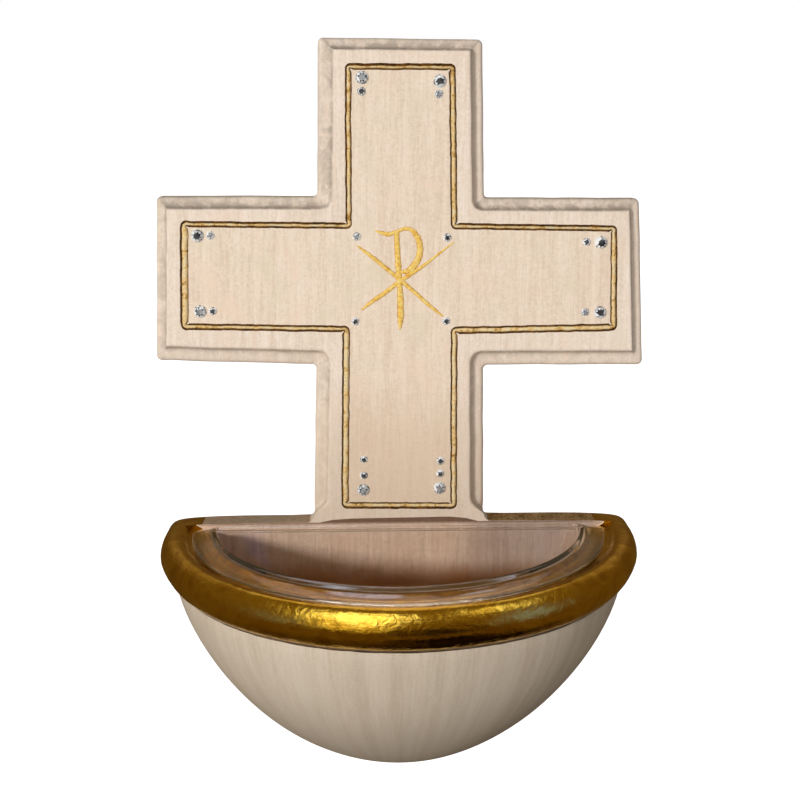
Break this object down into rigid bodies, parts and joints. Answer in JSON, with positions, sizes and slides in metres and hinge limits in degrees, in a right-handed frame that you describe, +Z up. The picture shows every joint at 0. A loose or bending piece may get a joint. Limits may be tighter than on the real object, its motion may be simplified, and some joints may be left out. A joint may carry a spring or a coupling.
{
  "type": "wall-hung holy water font",
  "caption": "Wall-hung holy water font: a moulded wooden cross board set with crystals, a half-turned wooden bowl with a gilded rim and a clear water insert that lifts out.",
  "frame": {"origin": "on the board's wall face, on the centre line, at the height of the top edge of the board behind the bowl", "axes": "+X to the viewer's right, +Y into the wall (out of the board's back), +Z up along the upright"},
  "size_m": [0.12, 0.0668, 0.1795],
  "materials": {
    "glazed_wood": "white glaze over pale wood, satin",
    "glazed_bowl": "white glaze over turned wood, satin",
    "gold_leaf": "polished gold leaf over wood",
    "clear_plastic": "clear, glossy",
    "crystal": "faceted, foiled back",
    "brass": "satin",
    "zinc_steel": "zinc plated"
  },
  "bodies": {
    "font": {"back_board": "glazed_wood", "bowl_shell": "glazed_bowl", "gilded_rim": "gold_leaf", "hanger_plate": "brass", "stone_foot_left_1": "crystal", "stone_foot_left_2": "crystal", "stone_foot_left_3": "crystal", "stone_foot_right_1": "crystal", "stone_foot_right_2": "crystal", "stone_foot_right_3": "crystal", "stone_left_lower_1": "crystal", "stone_left_lower_2": "crystal", "stone_left_upper_1": "crystal", "stone_left_upper_2": "crystal", "stone_middle_lower_left": "crystal", "stone_middle_lower_right": "crystal", "stone_middle_upper_left": "crystal", "stone_middle_upper_right": "crystal", "stone_right_lower_1": "crystal", "stone_right_lower_2": "crystal", "stone_right_upper_1": "crystal", "stone_right_upper_2": "crystal", "stone_top_left_1": "crystal", "stone_top_left_2": "crystal", "stone_top_right_1": "crystal", "stone_top_right_2": "crystal", "hanger_screw_upper": "brass", "hanger_screw_lower": "brass", "bowl_screw_left": "zinc_steel", "bowl_screw_right": "zinc_steel", "bowl_screw_bottom": "zinc_steel"},
    "insert": {"water_insert": "clear_plastic"}
  },
  "joints": [
    {"name": "insert_lift", "type": "slide", "parent": "font", "child": "insert", "axis": [0, 0, 1], "range_m": [0, 0.05]}
  ]
}
